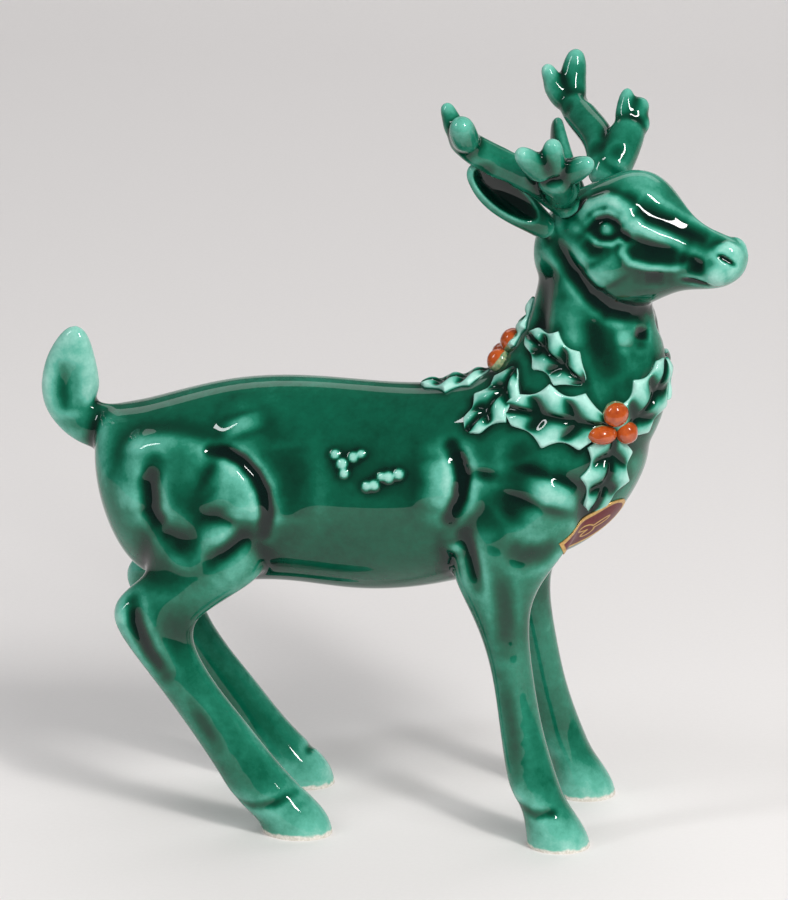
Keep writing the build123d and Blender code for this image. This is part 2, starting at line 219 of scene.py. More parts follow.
class Clay:
    """A skin held as arrays while it is smoothed and tooled."""

    def __init__(self, skin):
        self.skin = skin
        self.count = len(skin.vertices)
        self.points = np.empty(self.count * 3)
        skin.vertices.foreach_get("co", self.points)
        self.points = self.points.reshape(-1, 3)
        ends = np.empty(len(skin.edges) * 2, np.int64)
        skin.edges.foreach_get("vertices", ends)
        self.first, self.second = ends.reshape(-1, 2).T
        self.valence = np.bincount(ends, minlength=self.count).clip(1)

    def around(self, values):
        """The mean of each point's neighbours."""
        total = np.zeros_like(values)
        for column in range(values.shape[1]):
            total[:, column] += np.bincount(self.first, values[self.second, column], self.count)
            total[:, column] += np.bincount(self.second, values[self.first, column], self.count)
        return total / self.valence[:, None]

    def smooth(self, rounds, where=1.0):
        """Relaxes the skin, fully or by a weight at each point."""
        weight = np.broadcast_to(np.asarray(where, float), self.count)[:, None] * 0.5
        for _ in range(rounds):
            self.points += (self.around(self.points) - self.points) * weight

    def settle(self):
        """Writes the points back and reads the normals there."""
        self.skin.vertices.foreach_set("co", self.points.ravel())
        self.skin.update()
        self.normals = np.empty(self.count * 3)
        self.skin.vertex_normals.foreach_get("vector", self.normals)
        self.normals = self.normals.reshape(-1, 3)
        faces = [tuple(face.vertices) for face in self.skin.polygons]
        self.solid = BVHTree.FromPolygons(self.points.tolist(), faces)

    def near(self, path, width):
        """How much of a tool's touch each point gets, along a path and fading over its width."""
        nearest = np.full(self.count, np.inf)
        along = np.zeros(self.count)
        runs = list(zip(path, path[1:])) or [(path[0], path[0] + Vector((0, 0, 1e-6)))]
        for step, (start, end) in enumerate(runs):
            way = np.array(end - start)
            share = ((self.points - np.array(start)) @ way / (way @ way)).clip(0, 1)
            gap = np.linalg.norm(self.points - (np.array(start) + share[:, None] * way), axis=1)
            closer = gap < nearest
            nearest[closer] = gap[closer]
            along[closer] = (step + share[closer]) / len(runs)
        fall = (1 - (nearest / (width * MM)) ** 2).clip(0, 1) ** 2
        if len(path) > 1:
            fall *= np.sin(np.pi * along.clip(0.04, 0.96)) ** 0.5
        return fall

    def pull(self, path, width, height):
        """Raises the skin along a path by a height in millimetres, or presses it in if negative."""
        self.points += self.normals * (height * MM * self.near(path, width))[:, None]


figure = bmesh.new()
blank(figure, upright_rings(barrel))
blank(figure, level_rings(neck))
blank(figure, head_rings(skull))
blank(figure, tail_rings())
blank(figure, level_rings(foreleg(0.0, -17.0, -12.6)))
blank(figure, level_rings(foreleg(0.2, 20.5, 12.6)))
blank(figure, level_rings(hindleg(0.0, -20.0, -12.4)))
blank(figure, level_rings(hindleg(-6.6, 15.0, 12.4)))
figure_grain, fettling = 0.5 * MM, 24      # face size, and rounds of smoothing with a wet sponge
clay = Clay(run_together(figure, "figure", figure_grain))
clay.smooth(fettling)
clay.settle()


def seat(side, x, z):
    """The point of the figure's skin seen from one side at x and z."""
    start = spot(x, side * 60, z)
    return clay.solid.ray_cast(start, Vector((0, -side, 0)))[0] or start


def head_seat(side, ahead, z):
    """The point of the head's skin seen square from one side of the head."""
    start = head_spot(ahead, side * 60, z)
    way = head_spot(0, -side, 0) - head_spot(0, 0, 0)
    return clay.solid.ray_cast(start, way.normalized())[0] or start


# Each tool mark: width and height in millimetres (a negative height is a groove), then its path.
body_marks = [
    # haunch: the crease in front of it, its full edge, the narrow hollow behind and the thigh's tendons
    (9.0, -0.9, [(-23.6, 97), (-22.0, 88), (-22.8, 78)]),
    (2.4, -1.8, [(-41, 94.4), (-37.2, 94.2), (-33.4, 92.6), (-30.2, 89.6), (-28.0, 85.8), (-27.0, 80),
                 (-28, 74.6)]),
    (10.0, 2.0, [(-42, 89.0), (-37.2, 86.6), (-35.4, 82.0), (-35.8, 78)]),
    (4.0, -1.2, [(-54.4, 91), (-55.6, 86.0), (-55.0, 79.0), (-52.6, 74.6)]),
    (5.4, -0.9, [(-52.4, 75.6), (-47.5, 72.0), (-42, 71.2)]),
    (6.0, 0.8, [(-60.8, 92), (-61.2, 85), (-59.8, 78)]),
    (5.4, 0.9, [(-47, 68.4), (-41, 72.6), (-35.8, 76.6), (-31, 80.4)]),
    (3.4, -0.6, [(-39.5, 69.0), (-35.6, 72.4), (-31.6, 76.0)]),
    (4.6, 0.5, [(-38, 64.0), (-33.4, 68), (-28.6, 73.0)]),
    (7.0, 0.9, [(-35, 102), (-32.8, 98)]),
    # shoulder: the deep crease behind it, a thumbed hollow and the crescent on its round
    (3.0, -1.9, [(17.2, 98.5), (19.4, 95), (20.2, 91), (19.6, 86.5), (17.2, 81.5)]),
    (6.0, 0.9, [(13.0, 96), (14.4, 90), (13.0, 83)]),
    (7.0, -0.8, [(24.8, 94.6), (24.4, 90.6)]),
    (6.6, -1.4, [(34.4, 96.5), (35.4, 93), (34.4, 89), (31.6, 85), (29.0, 82.8)]),
    (12.0, 2.1, [(42, 92.5), (40, 85.5)]),
    (5.0, -0.8, [(30.5, 75.4), (35, 73.2), (39.6, 73.6), (43.8, 76.8)]),
    (3.6, 1.0, [(17.8, 75.4), (18.8, 71.8)]),
    (3.0, -1.0, [(21.2, 77), (22.6, 71), (23.8, 65)]),
    # foreleg and hind leg: tendons, the split hoof and its seam
    (4.2, -0.6, [(29.6, 69), (30.6, 59), (31.0, 49)]),
    (3.6, -0.4, [(30.2, 42), (32.4, 30), (34.0, 19)]),
    (1.8, -0.5, [(35.2, 10.6), (38.6, 9.2), (43.0, 9.8), (46.6, 11)]),
    (2.8, 0.7, [(34.0, 13), (33.6, 10.4)]),
    (3.6, -1.3, [(-60.0, 56.0), (-58.6, 50.6), (-55.8, 44.6), (-51.5, 39)]),
    (3.8, 0.6, [(-63.4, 54.6), (-62.4, 50)]),
    (3.2, -0.4, [(-45, 32), (-38.5, 22)]),
    (1.7, -0.45, [(-35.4, 8.8), (-30, 7.6), (-24, 9.0), (-19.6, 11)]),
    # the upright tail, dished
    (6.4, -1.7, [(-79.6, 96.5), (-80.2, 103.0), (-79.4, 111.5)]),
    (2.6, 0.5, [(-78.4, 98.0), (-79.2, 104), (-79.0, 109)]),
    # neck: the groove down from the jaw, and the long muscle behind it
    (5.6, -1.0, [(50, 132), (52, 124), (56, 115)]),
    (7.0, 0.8, [(43, 136), (44, 126), (45, 117)]),
    (4.4, -0.8, [(38.2, 140), (37.2, 130), (35.4, 121)]),
]
# small raised dabs on the flank, on which the glaze is thin; their pale colour is partly a painted
# highlight
dab_height = 1.0
flank_dabs = [
    (1.5, [(-10.8, 95.0)]), (1.9, [(-9.0, 93.0)]), (1.5, [(-8.4, 90.9)]), (1.7, [(-6.4, 94.6)]),
    (1.3, [(-4.6, 95.4)]), (1.5, [(-2.8, 88.2)]), (1.7, [(-1.0, 88.6)]), (1.4, [(0.6, 90.6)]),
    (1.9, [(2.4, 90.6)]), (1.7, [(4.8, 91.4)]),
]
head_marks = [
    # eye: the socket, a heavy brow, the ball under its lids and the tear duct in front
    (6.6, -0.9, [(11.0, 152.8)]),
    (3.6, 1.2, [(3.4, 153.2), (5.8, 156.6), (10.4, 158.6), (14.8, 157.8), (17.6, 155.6)]),
    (2.9, 1.0, [(11.4, 152.9)]),
    (0.85, -0.5, [(7.2, 152.4), (9.0, 154.4), (11.6, 155.2), (13.8, 154.4), (15.0, 152.4)]),
    (0.85, -0.4, [(8.0, 151.8), (10.2, 150.8), (12.8, 150.8), (15.0, 152.2)]),
    (1.4, 0.6, [(6.4, 153.4), (8.8, 155.8), (11.8, 156.6), (14.6, 155.4)]),
    (1.4, 0.5, [(7.2, 150.8), (10.0, 149.4), (13.2, 149.6), (15.6, 151.2)]),
    (1.4, -0.9, [(15.2, 152.2), (17.2, 150.8)]),
    (2.4, -0.5, [(5.4, 149.6), (8.4, 147.4), (11.6, 147.6)]),
    # muzzle: the long hollow above, the oval one below it and the rim round that
    (5.0, -1.3, [(17.0, 158.8), (22.5, 156.0), (28, 153.2), (35.0, 150.6)]),
    (3.4, 0.7, [(16.6, 154.4), (20.5, 153.4), (26, 151.8), (31, 150.0)]),
    (5.0, -0.9, [(16.8, 149.8), (22.0, 148.4), (28.8, 147.2)]),
    (1.6, 0.5, [(15.8, 150.4), (15.8, 147.6), (17.6, 145.4), (22, 144.2), (27, 144.2), (31, 145.2)]),
    (3.4, -0.5, [(20, 141.6), (25, 141.6)]),
    # nostril and mouth
    (2.2, 0.6, [(36.0, 148.8), (38.8, 149.8), (41.4, 147.8)]),
    (0.9, -1.1, [(37.4, 148.0), (39.0, 147.2), (41.0, 145.6)]),
    (3.4, -0.8, [(30.0, 145.8), (32.8, 145.0), (34.6, 145.0)]),
    (1.2, -0.8, [(29.0, 141.2), (31.6, 141.0), (34.6, 140.4)]),
    (4.0, 0.8, [(34.6, 142.6), (39, 142.6)]),
    # jaw, cheek and temple
    (3.8, -1.3, [(-3.0, 148.5), (1.0, 145), (4.0, 141.4), (7.6, 137), (11.6, 132.8), (16.4, 131)]),
    (9.0, 0.9, [(8.4, 144.2), (12, 138.8)]),
    (4.6, -1.2, [(0.8, 157.6), (2.6, 154.8)]),
    (4.6, 1.0, [(-5.4, 150.0), (-3.0, 152)]),
    (3.0, -1.0, [(17.4, 127.6), (17.6, 124.4)]),
    (3.0, 0.5, [(14.4, 128), (14.8, 123.6)]),
]
dab_paths = [(width, [seat(side, x, z) for x, z in path])
             for side in (RIGHT, LEFT) for width, path in flank_dabs]
# where a leg's blank meets the barrel's: the width of the wet sponge and its path
sponging = 90
blended = [
    (15, [(-66, 92), (-60, 98), (-52, 99.5), (-44, 98.5)]),
    (9, [(22, 101), (30, 103.5), (38, 102)]),
]
for side in (RIGHT, LEFT):
    for width, path in blended:
        clay.smooth(sponging, clay.near([seat(side, x, z) for x, z in path], width))
clay.settle()
for side in (RIGHT, LEFT):
    for width, height, path in body_marks:
        clay.pull([seat(side, x, z) for x, z in path], width, height)
clay.smooth(7)
for side in (RIGHT, LEFT):
    for width, height, path in head_marks:
        clay.pull([head_seat(side, ahead, z) for ahead, z in path], width, height)
for width, path in dab_paths:
    clay.pull(path, width, dab_height)
clay.smooth(3)

# The surface is a little uneven all over, as a hand-finished cast is.
unevenness = [(0.055, 0.22), (0.021, 0.09)]
clay.settle()
for reach, height in unevenness:
    rise = np.array([noise.noise(Vector(point) / reach) for point in clay.points])
    clay.points += clay.normals * (rise * height * MM)[:, None]
clay.settle()


def glaze_depth(clay, fine=10, broad=90):
    """Where molten glaze runs off and where it pools: above 0 on edges, below 0 in hollows."""
    start = clay.points.copy()
    clay.smooth(fine)
    near = ((start - clay.points) * clay.normals).sum(1) / MM
    clay.smooth(broad)
    wide = ((start - clay.points) * clay.normals).sum(1) / MM
    clay.points = start
    return near, wide


def keep_glaze(clay, run_off, typical=0.0):
    """Stores the glaze's depth on the skin, for its material to read. Typical is how round most of
    the piece is, so that only what is sharper than that turns pale."""
    near, wide = glaze_depth(clay)
    wide = wide - np.median(wide) * typical
    depth = np.tanh(near * 4.5 + wide * 1.8 + run_off)
    clay.skin.attributes.new("glaze", "FLOAT", "POINT").data.foreach_set("value", depth)
    kept = clay.skin.attributes.new("true_normal", "FLOAT_VECTOR", "POINT")
    kept.data.foreach_set("vector", clay.normals.ravel())


ground_clearance = clay.points[:, 2] / MM
# the dabs' pale colour: thin glaze over the raised dabs, and partly a painted highlight on them
dab_thin_glaze_and_painted_highlight = np.max([clay.near(path, width * 0.9) for width, path in dab_paths], axis=0)
on_legs = ((64 - ground_clearance) / 12).clip(0, 1)
on_hooves = (1 - ground_clearance / 16).clip(0, 1)
on_head = ((ground_clearance - 126) / 10).clip(0, 1)
past_rump = ((spot(-70, 0, 0).x - clay.points[:, 0]) / (4 * MM)).clip(0, 1)
on_tail = past_rump * ((ground_clearance - 94) / 6).clip(0, 1)
# paler glaze: thin over the dabs, the tail and the hooves, with a painted highlight on the dabs
thin_glaze_and_painted_highlight = 1.8 * dab_thin_glaze_and_painted_highlight + 0.55 * on_tail + 0.65 * on_hooves
thick = 0.35 * on_legs + 0.2 * on_head
keep_glaze(clay, thin_glaze_and_painted_highlight - thick)
clay.settle()

fore_x, hind_x, rear_x = spot(5, 0, 0).x, spot(-5, 0, 0).x, spot(-60, 0, 0).x
neck_x, tail_z = spot(10, 0, 0).x, 84 * MM
foreleg_cut, foreleg_way = spot(20, 0, 61), Vector((0.447, 0, -0.894))
# The luted joints: the piece past each cut, a point on the cut, the way out and what is near it.
joints = [
    ("head_neck", spot(46, 0, 107), Vector((0.30, 0, 0.954)), lambda p: p.x > neck_x),
    ("tail", spot(-73.6, 0, 93), Vector((-1, 0, 0.3)), lambda p: p.z > tail_z and p.x < rear_x),
    ("foreleg_right", foreleg_cut, foreleg_way, lambda p: p.x > fore_x and p.y < middle_y),
    ("foreleg_left", foreleg_cut, foreleg_way, lambda p: p.x > fore_x and p.y > middle_y),
    ("hindleg_right", spot(-40, -5, 57), Vector((0, -0.5, -0.87)),
     lambda p: p.x < hind_x and p.y < middle_y),
    ("hindleg_left", spot(-40, 5, 57), Vector((0, 0.5, -0.87)),
     lambda p: p.x < hind_x and p.y > middle_y),
]
whole = bmesh.new()
whole.from_mesh(clay.skin)
everything = whole.verts[:] + whole.edges[:] + whole.faces[:]
bmesh.ops.bisect_plane(whole, geom=everything, plane_co=spot(0, 0, 0), plane_no=Vector((0, 0, -1)),
                       clear_outer=True)
for name, point, outward, near in joints:
    faces = [face for face in whole.faces if near(face.calc_center_median())]
    around = {item for face in faces for item in (*face.verts, *face.edges)}
    bmesh.ops.bisect_plane(whole, geom=faces + list(around), plane_co=point, plane_no=outward)
piece_layer = whole.faces.layers.int.new("piece")
for face in whole.faces:
    middle = face.calc_center_median()
    for number, (name, point, outward, near) in enumerate(joints):
        if near(middle) and (middle - point).dot(outward) > 0:
            face[piece_layer] = number + 1
            break


def part_off(number, name):
    """One piece of the figure, closed, and shaded as if the glaze ran on over its joints."""
    bm = whole.copy()
    layer = bm.faces.layers.int["piece"]
    bmesh.ops.delete(bm, geom=[face for face in bm.faces if face[layer] != number], context="FACES")
    bmesh.ops.holes_fill(bm, edges=[edge for edge in bm.edges if edge.is_boundary], sides=0)
    mesh = bpy.data.meshes.new("glazed_" + name)
    bm.to_mesh(mesh)
    bm.free()
    normals = [item.vector.copy() for item in mesh.attributes["true_normal"].data]
    mesh.normals_split_custom_set_from_vertices(normals)
    piece = bpy.data.objects.new("glazed_" + name, mesh)
    bpy.context.scene.collection.objects.link(piece)
    set_on(piece, name)
    return piece


piece_names = ["torso"] + [joint[0] for joint in joints]
figure_pieces = [part_off(number, name) for number, name in enumerate(piece_names)]
whole.free()

# ---------------------------------------------------------------------------------------------
# Antlers and ears: solid, rolled and pinched by hand or press-moulded, and stuck on with slip.
# Each antler is a beam that runs back with two prongs behind and three short ones in front.
# ---------------------------------------------------------------------------------------------
stem_swell = 1.1      # a stem is rolled this much fatter, because fettling slims it


def stem_rings(side, stations):
    """Rings along a rolled stem, from (ahead, out, z, radius) stations on the head."""
    places = [head_spot(ahead, side * out, z) for ahead, out, z, radius in stations]
    for number, (place, station) in enumerate(zip(places, stations)):
        along = places[min(number + 1, len(places) - 1)] - places[max(number - 1, 0)]
        across = along.orthogonal().normalized()
        radius = station[3] * stem_swell * MM
        yield place, across * radius, along.cross(across).normalized() * radius


antler_stems = {
    RIGHT: [
        [(1.5, 7.6, 155, 4.0), (-1.4, 12.0, 160.4, 3.7), (-5.4, 16.3, 164.4, 3.5),
         (-10.6, 21.0, 168.0, 3.5), (-15.6, 25.4, 171.8, 3.4), (-19.0, 27.8, 175.0, 3.1),
         (-20.2, 28.4, 177.0, 1.9)],
        [(-17.6, 27.4, 174.0, 2.8), (-20.6, 28.0, 178.2, 2.4), (-22.4, 27.4, 181.6, 1.9),
         (-22.8, 26.8, 183.4, 1.1)],
        [(-16.6, 27.0, 173.2, 2.9), (-16.9, 30.2, 176.6, 3.1), (-16.3, 32.6, 179.2, 2.9),
         (-15.9, 34.0, 181.4, 1.7)],
        [(-1.6, 9.6, 158.4, 3.8), (1.2, 14.2, 162.8, 4.4), (1.7, 18.6, 166.2, 4.5),
         (1.6, 22.0, 167.8, 3.7)],
        [(0.6, 21.6, 167.4, 3.1), (-0.8, 25.2, 169.8, 2.9), (-1.9, 28.8, 172.8, 2.4),
         (-2.6, 31.4, 174.8, 1.4)],
        [(1.8, 20.6, 167.6, 3.1), (2.6, 23.0, 171.4, 2.8), (3.3, 24.6, 174.8, 2.3),
         (3.6, 25.2, 176.8, 1.3)],
        [(2.8, 18.0, 166.6, 3.3), (6.2, 19.0, 168.2, 3.0), (9.6, 20.0, 170.0, 2.3),
         (11.8, 20.5, 171.4, 1.3)],
    ],
    LEFT: [
        [(3.0, 7.2, 157.0, 4.1), (1.1, 12.0, 163.2, 3.9), (-3.3, 18.0, 166.8, 3.7),
         (-9.1, 23.0, 168.8, 3.6), (-14.4, 28.0, 171.0, 3.5), (-16.2, 29.6, 173.4, 2.4)],
        [(-14.9, 28.0, 170.6, 3.0), (-18.6, 27.9, 173.8, 2.7), (-20.4, 27.4, 177.6, 2.3),
         (-21.2, 26.8, 181.0, 1.3)],
        [(-14.2, 28.4, 171.0, 3.2), (-16.2, 31.0, 175.6, 3.1), (-15.9, 32.6, 180.2, 2.8),
         (-15.7, 33.0, 184.0, 1.5)],
        [(3.4, 8.6, 159.4, 4.0), (3.6, 13.0, 163.8, 4.3), (4.2, 17.6, 168.4, 4.1),
         (4.5, 20.0, 170.8, 3.2)],
        [(4.4, 19.4, 170.0, 3.1), (5.2, 22.4, 173.4, 2.7), (5.4, 24.2, 176.0, 1.5)],
        [(3.4, 18.6, 169.4, 2.8), (2.6, 20.4, 174.0, 2.4), (2.3, 22.0, 178.8, 1.3)],
        [(5.2, 19.0, 168.4, 2.8), (6.6, 21.8, 171.2, 2.2), (7.0, 22.8, 172.4, 1.3)],
    ],
}
ear_stations = [
    # share of the length, half width, half thickness, bend back
    (-0.16, 2.8, 2.8, 0.0), (0.04, 3.4, 3.0, 0.0), (0.24, 4.5, 2.7, 0.4), (0.46, 5.1, 2.5, 0.8),
    (0.66, 4.8, 2.3, 0.8), (0.84, 3.4, 1.9, 0.4), (0.97, 1.6, 1.2, 0.0),
]


def press_hollow(clay, point, towards, long, wide, depth, facing):
    """Presses an oval hollow into the side of an ear that faces outwards."""
    offset = clay.points - np.array(point)
    along = offset @ np.array(towards)
    across = offset @ np.array(facing.cross(towards).normalized())
    inside = (1 - (along / (long * MM)) ** 2 - (across / (wide * MM)) ** 2).clip(0, 1) ** 0.8
    lit = (clay.normals @ np.array(facing)).clip(0, 1)
    clay.points -= np.array(facing) * (depth * MM * inside * lit ** 0.5)[:, None]


def finish_horn(clay, name, run_off):
    """Stores the glaze on a small solid piece and puts the piece on the head."""
    keep_glaze(clay, run_off, typical=1.0)
    clay.settle()
    piece = bpy.data.objects.new("glazed_" + name, clay.skin)
    bpy.context.scene.collection.objects.link(piece)
    shade_smooth(piece)
    set_on(piece, name)
    figure_pieces.append(piece)


for side, side_name in ((RIGHT, "right"), (LEFT, "left")):
    antler = bmesh.new()
    for stations in antler_stems[side]:
        blank(antler, stem_rings(side, stations))
    horn = Clay(run_together(antler, "antler", 0.32 * MM))
    horn.smooth(26)
    horn.settle()
    for point in horn.points[:: horn.count // 9]:
        horn.pull([Vector(point)], 3.2, -0.35)
    horn.smooth(3)
    horn.settle()
    finish_horn(horn, "antler_" + side_name, 0.30)

    root, tip = head_spot(-5.8, side * 10.8, 152.0), head_spot(-18.0, side * 26.0, 168.4)
    towards = (tip - root).normalized()
    facing = (head_spot(0.62, side * 0.70, 0.20) - head_spot(0, 0, 0)).normalized()
    facing = (facing - towards * facing.dot(towards)).normalized()
    across = facing.cross(towards)
    ear = bmesh.new()
    rings = []
    for share, half_width, half_thickness, bend in ear_stations:
        centre = root + (tip - root) * share - facing * bend * MM
        rings.append((centre, across * half_width * MM, facing * half_thickness * MM))
    blank(ear, rings)
    lobe = Clay(run_together(ear, "ear", 0.3 * MM))
    lobe.smooth(6)
    lobe.settle()
    press_hollow(lobe, root + (tip - root) * 0.52, towards, 10.4, 3.5, 2.8, facing)
    lobe.smooth(4)
    lobe.settle()
    finish_horn(lobe, "ear_" + side_name, 0.10)

# ---------------------------------------------------------------------------------------------
# The holly collar: three sprigs of four leaves, on each side of the neck's root and on the nape.
# Each leaf is pressed from white clay in a sprig mould, with its lobes puffed up between sunk
# veins, and stuck on with slip. Glaze runs off the lobes and lies black in the veins.
# ---------------------------------------------------------------------------------------------
collar_x, collar_z = 44.1, 101.9
leaf_length, leaf_width, leaf_lobes = 25.0, 14.0, 3
side_leaves = {
    "rear": (-97, 4.6, 0, 82, 1.04), "front": (-26, 8.0, 0, -42, 0.92),
    "lower": (-56, -8.5, 0, 168, 0.88), "upper": (-108, 18.5, 0, 62, 0.78),
}
nape_leaves = {
    "upper": (180, 22.0, 0, 0, 0.64), "right": (-146, 7.0, 0, 158, 0.78),
    "left": (146, 7.0, 0, -158, 0.78), "lower": (180, -2.0, 19, 180, 0.72),
}


def laid(turn, height, climb=0, slant=0):
    """Where a sight line from the collar's middle leaves the figure: the place, which way a sprig
    laid there points, its other side and the way out."""
    turn, climb, slant = math.radians(turn), math.radians(climb), math.radians(slant)
    level = math.cos(climb)
    heading = Vector((math.cos(turn) * level, math.sin(turn) * level, math.sin(climb)))
    start = spot(collar_x + 0.02 * height, 0, collar_z + height)
    place = clay.solid.ray_cast(start + heading * 0.09, -heading)[0]
    near = np.linalg.norm(clay.points - np.array(place), axis=1) < 5 * MM
    outwards = Vector(clay.normals[near].mean(0)).normalized()
    up = (Vector((0, 0, 1)) - outwards * outwards.z).normalized()
    aside = outwards.cross(up)
    pointing = up * math.cos(slant) + aside * math.sin(slant)
    return place, pointing, outwards.cross(pointing), outwards


def leaf_shape(u, v, bias):
    """A holly leaf at u along it and v across: its half width's share, its relief and its glaze."""
    middle = math.sin(math.pi * min(max(u, 0.0), 1.0) ** 0.9) ** 0.62
    to_tooth = (u - 0.235 + bias) * leaf_lobes
    scallop = 1 - 0.32 * abs(math.sin(math.pi * to_tooth)) ** 0.9
    reach = max(0.03, middle * scallop * (1.20 - 0.1 * u))
    edge = abs(v)
    lobe = 0.5 + 0.5 * math.cos(2 * math.pi * (to_tooth + 0.30 * (1 - edge)))
    puff = lobe ** 0.8 * math.sin(math.pi * min(edge, 1) ** 0.75) ** 0.8
    midrib = math.exp(-((v * reach * 7 / 0.85) ** 2))
    vein = (1 - lobe) ** 4 * min(1, edge * 4) * (1 - edge ** 6)
    rim = edge ** 4
    ends = math.sin(math.pi * (0.06 + 0.90 * u)) ** 0.45
    relief = ends * (0.80 + 1.05 * puff - 0.65 * midrib - 0.60 * vein + 0.35 * rim) + 0.30 * u ** 4
    depth = -0.35 + 0.65 * puff + 1.35 * edge ** 2 - 1.7 * midrib - 1.4 * vein
    return reach, relief, math.tanh(depth)


def soften(bm, verts, rounds, factor):
    for _ in range(rounds):
        bmesh.ops.smooth_vert(bm, verts=list(verts), factor=factor, use_axis_x=True, use_axis_y=True,
                              use_axis_z=True)


def press_leaf(name, turn, height, climb, slant, size, seed):
    """One leaf: a thin slab drawn to its outline, laid over the figure's curve and modelled."""
    place, pointing, aside, outwards = laid(turn, height, climb, slant)
    bm = bmesh.new()
    glaze_layer = bm.verts.layers.float.new("glaze")
    bmesh.ops.create_grid(bm, x_segments=72, y_segments=30, size=1)
    raised = bmesh.ops.extrude_face_region(bm, geom=bm.faces[:])["geom"]
    top = {item for item in raised if isinstance(item, bmesh.types.BMVert)}
    length, half_width = leaf_length * size * MM, leaf_width * size * MM / 2
    sway = 0.06 * math.sin(seed * 2.4)
    outline = []
    for vert in bm.verts:
        u, v = (vert.co.x + 1) / 2, vert.co.y
        reach, relief, depth = leaf_shape(u, v, 0.02 * math.sin(seed + 9 * (v > 0)))
        along = (u - 0.5) * length + 0.10 * half_width * reach * abs(v)
        across = (v * reach + sway * (1 - (2 * u - 1) ** 2) * 3) * half_width
        flat = place + pointing * along + aside * across
        ground, way, _, _ = clay.solid.ray_cast(flat + outwards * 0.014, -outwards)
        if ground is None:
            ground, way, _, _ = clay.solid.find_nearest(flat)
        lift = (way + outwards).normalized()
        vert.co = ground + lift * (relief if vert in top else -0.7) * MM
        vert[glaze_layer] = depth if vert in top else -0.8
        if abs(v) > 0.999 and vert in top:
            outline.append(vert.co.copy())
    soften(bm, top, 4, 0.5)
    leaf = as_object(bm, "pressed_" + name)
    shade_smooth(leaf)
    set_on(leaf, name)
    return leaf, outline


sprigs = {"nape": nape_leaves, "right": side_leaves}
sprigs["left"] = {key: (-turn, height, climb, -slant, size)
                  for key, (turn, height, climb, slant, size) in side_leaves.items()}
leaves, leaf_edges = [], []
for sprig, places in sprigs.items():
    for key, place in places.items():
        leaf, outline = press_leaf(f"leaf_{sprig}_{key}", *place, len(leaves))
        leaves.append(leaf)
        leaf_edges += outline

# ---------------------------------------------------------------------------------------------
# Three berries in the middle of each sprig: small balls of clay, pressed on and a little squashed.
# They are painted orange-red over the glaze, which stops short of where they meet the leaves.
# ---------------------------------------------------------------------------------------------
berry_radius = 3.0
berry_spread, berry_lift = 1.13, 0.55      # radii from the cluster's middle, and mm off the clay
sprig_middles = {"right": (-49, 2.6), "left": (49, 2.6), "nape": (180, 15.5)}
# how long and how high each berry is, and how far it is pressed sideways and outwards
berry_forms = [(1.04, 1.04, 0.0), (0.80, 1.20, 0.4), (0.96, 0.90, -0.4)]
berries = []
for sprig, (turn, height) in sprig_middles.items():
    place, up, aside, outwards = laid(turn, height)
    for number, (tall, wide, nudge) in enumerate(berry_forms):
        angle = math.radians(120 * number)
        across = aside * (-1 if sprig == "left" else 1)
        out_of_middle = up * math.cos(angle) + across * math.sin(angle)
        centre = place + out_of_middle * berry_radius * berry_spread * MM
        centre = clay.solid.find_nearest(centre)[0]
        centre = centre + outwards * berry_lift * MM + across * nudge * 0.4 * MM
        bm = bmesh.new()
        crown_layer = bm.verts.layers.float.new("crown")
        made = bmesh.ops.create_uvsphere(bm, u_segments=40, v_segments=24, radius=1)["verts"]
        for vert in made:
            round_off = vert.co.copy()
            vert[crown_layer] = round_off.z
            dent = 1 + 0.045 * noise.noise(round_off * 1.7 + Vector((turn, number * 5, 0)))
            vert.co = centre + (up * round_off.x * tall + across * round_off.y * wide
                                + outwards * round_off.z * 0.92) * berry_radius * dent * MM
        bm.normal_update()
        berry = as_object(bm, f"painted_berry_{sprig}_{number + 1}")
        shade_smooth(berry)
        set_on(berry, f"berry_{sprig}_{number + 1}")
        berries.append(berry)
        rim = [centre + (up * math.cos(t) * tall + across * math.sin(t) * wide) * berry_radius * MM
               for t in np.linspace(0, 2 * math.pi, 24)]
        leaf_edges += rim

# Glaze pools in the angle round every leaf and berry, on the figure under them.
pool_reach, pool_width, pool_patch = 4.5, 1.6, 6.0      # mm
edges = KDTree(len(leaf_edges))
for number, point in enumerate(leaf_edges):
    edges.insert(point, number)
edges.balance()
for piece in figure_pieces:
    if piece.name[7:] not in ("torso", "head_neck", "foreleg_right", "foreleg_left"):
        continue
    values = piece.data.attributes["glaze"].data
    for vert, value in zip(piece.data.vertices, values):
        gap = edges.find(vert.co)[2] / MM
        if gap < pool_reach:
            pool = 0.6 + 0.9 * noise.noise(vert.co / (pool_patch * MM))
            value.value = max(-1.2, value.value - pool * math.exp(-((gap / pool_width) ** 2)))

# ---------------------------------------------------------------------------------------------
# The foil label: printed and embossed gilt foil, gummed to the breast just under the right sprig.
# A shield with a straight foot, a gold border and a plain looped ornament on a maroon field.
# ---------------------------------------------------------------------------------------------
label_length, label_width, border = 19.5, 10.0, 1.0
foil_height, embossing, gummed_side = 0.24, 0.07, 0.02      # above the glaze
ornament_turns = np.linspace(0, 2 * math.pi, 260)
loops = 1.0 + 0.62 * np.cos(3 * ornament_turns)
ornament = np.stack([3.2 * loops * np.cos(ornament_turns), 1.35 * loops * np.sin(ornament_turns)], 1)
breast, _, _, out_of_breast = laid(-54, -23.6)
label_way = Vector((0.60, 0.50, 0.62))
label_way = (label_way - out_of_breast * label_way.dot(out_of_breast)).normalized()
label_side = out_of_breast.cross(label_way)
sprig_under = next(leaf for leaf in leaves if leaf.name.endswith("right_lower")).data
sprig_solid = BVHTree.FromPolygons([vert.co for vert in sprig_under.vertices],
                                   [tuple(face.vertices) for face in sprig_under.polygons])
label = bmesh.new()
